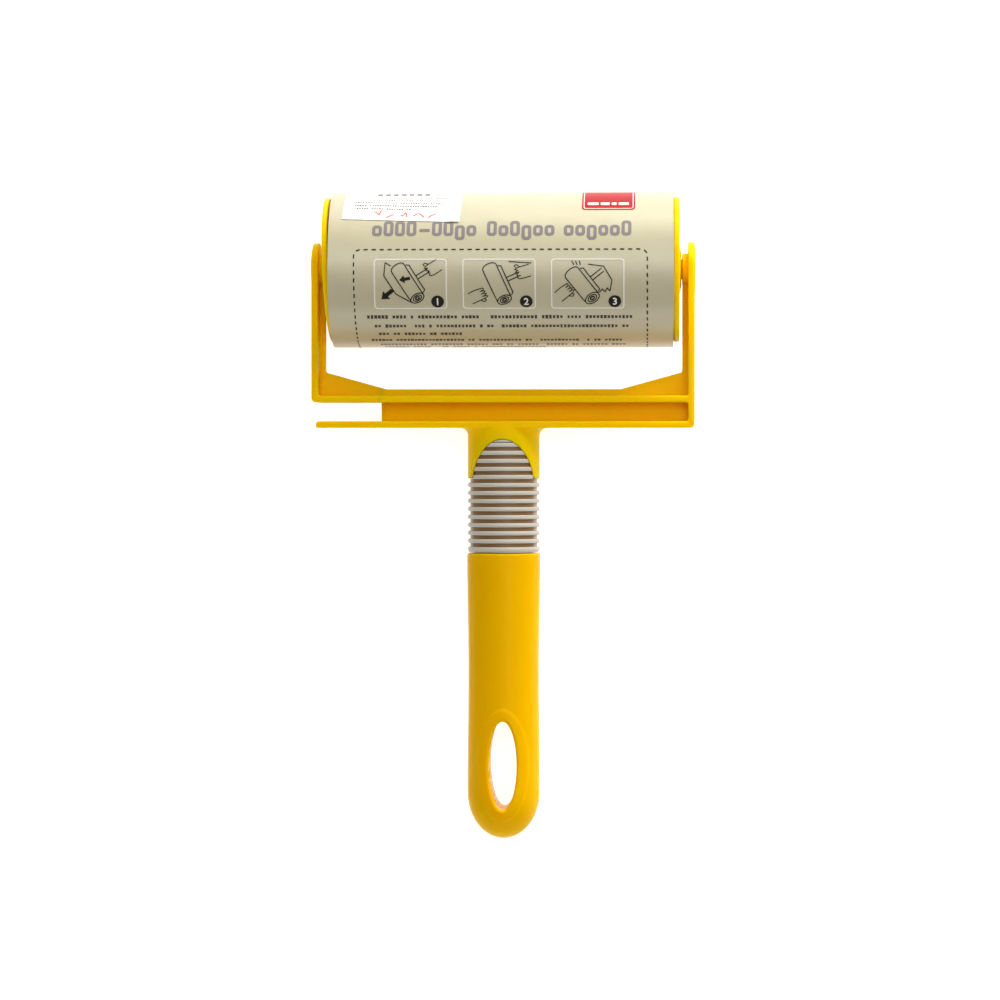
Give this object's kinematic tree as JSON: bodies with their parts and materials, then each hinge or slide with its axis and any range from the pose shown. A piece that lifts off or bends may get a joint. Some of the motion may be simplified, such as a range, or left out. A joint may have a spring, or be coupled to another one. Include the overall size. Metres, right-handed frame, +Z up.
{
  "type": "lint roller",
  "caption": "Hand lint roller: sprung yellow frame, tear-off adhesive paper roll on end caps, ribbed grip, and a handle with a hanging hole.",
  "frame": {"origin": "on the table, under the middle of the tool's bounding box; the tool lies on its roll and on the end of its handle", "axes": "+X along the roll's axis to the arm with no slot, +Y from the handle towards the roll, +Z up from the table; the tool's own plane slopes down 5.4 degrees from the roll to the handle's end, as it lies"},
  "size_m": [0.1124, 0.1904, 0.0457],
  "materials": {
    "yellow_plastic": "moulded satin gloss",
    "grey_rubber": "soft matt",
    "cardboard": "wound board",
    "adhesive_paper": "tacky gloss",
    "printed_paper": "satin coated",
    "white_label": "satin",
    "clear_tape": "gloss film"
  },
  "bodies": {
    "yoke": {"frame": "yellow_plastic", "grip_sleeve": "grey_rubber", "handle": "yellow_plastic"},
    "release_arm": {"release_arm": "yellow_plastic"},
    "roll": {"left_end_cap": "yellow_plastic", "right_end_cap": "yellow_plastic", "paper_core": "cardboard", "sheet_roll": "adhesive_paper", "protective_sleeve": "printed_paper", "price_label": "white_label", "sleeve_tape": "clear_tape"}
  },
  "joints": [
    {"name": "roll_spin", "type": "hinge", "parent": "yoke", "child": "roll", "pos_m": [0, 0.07191, 0.02285], "axis": [1, 0, 0], "continuous": true},
    {"name": "arm_release", "type": "hinge", "parent": "yoke", "child": "release_arm", "pos_m": [-0.0361, 0.03391, 0.01926], "axis": [0, -0.0941, 0.9956], "range_deg": [0, 10], "stiffness_Nm_per_rad": 0.4, "springref_deg": -1.72}
  ]
}
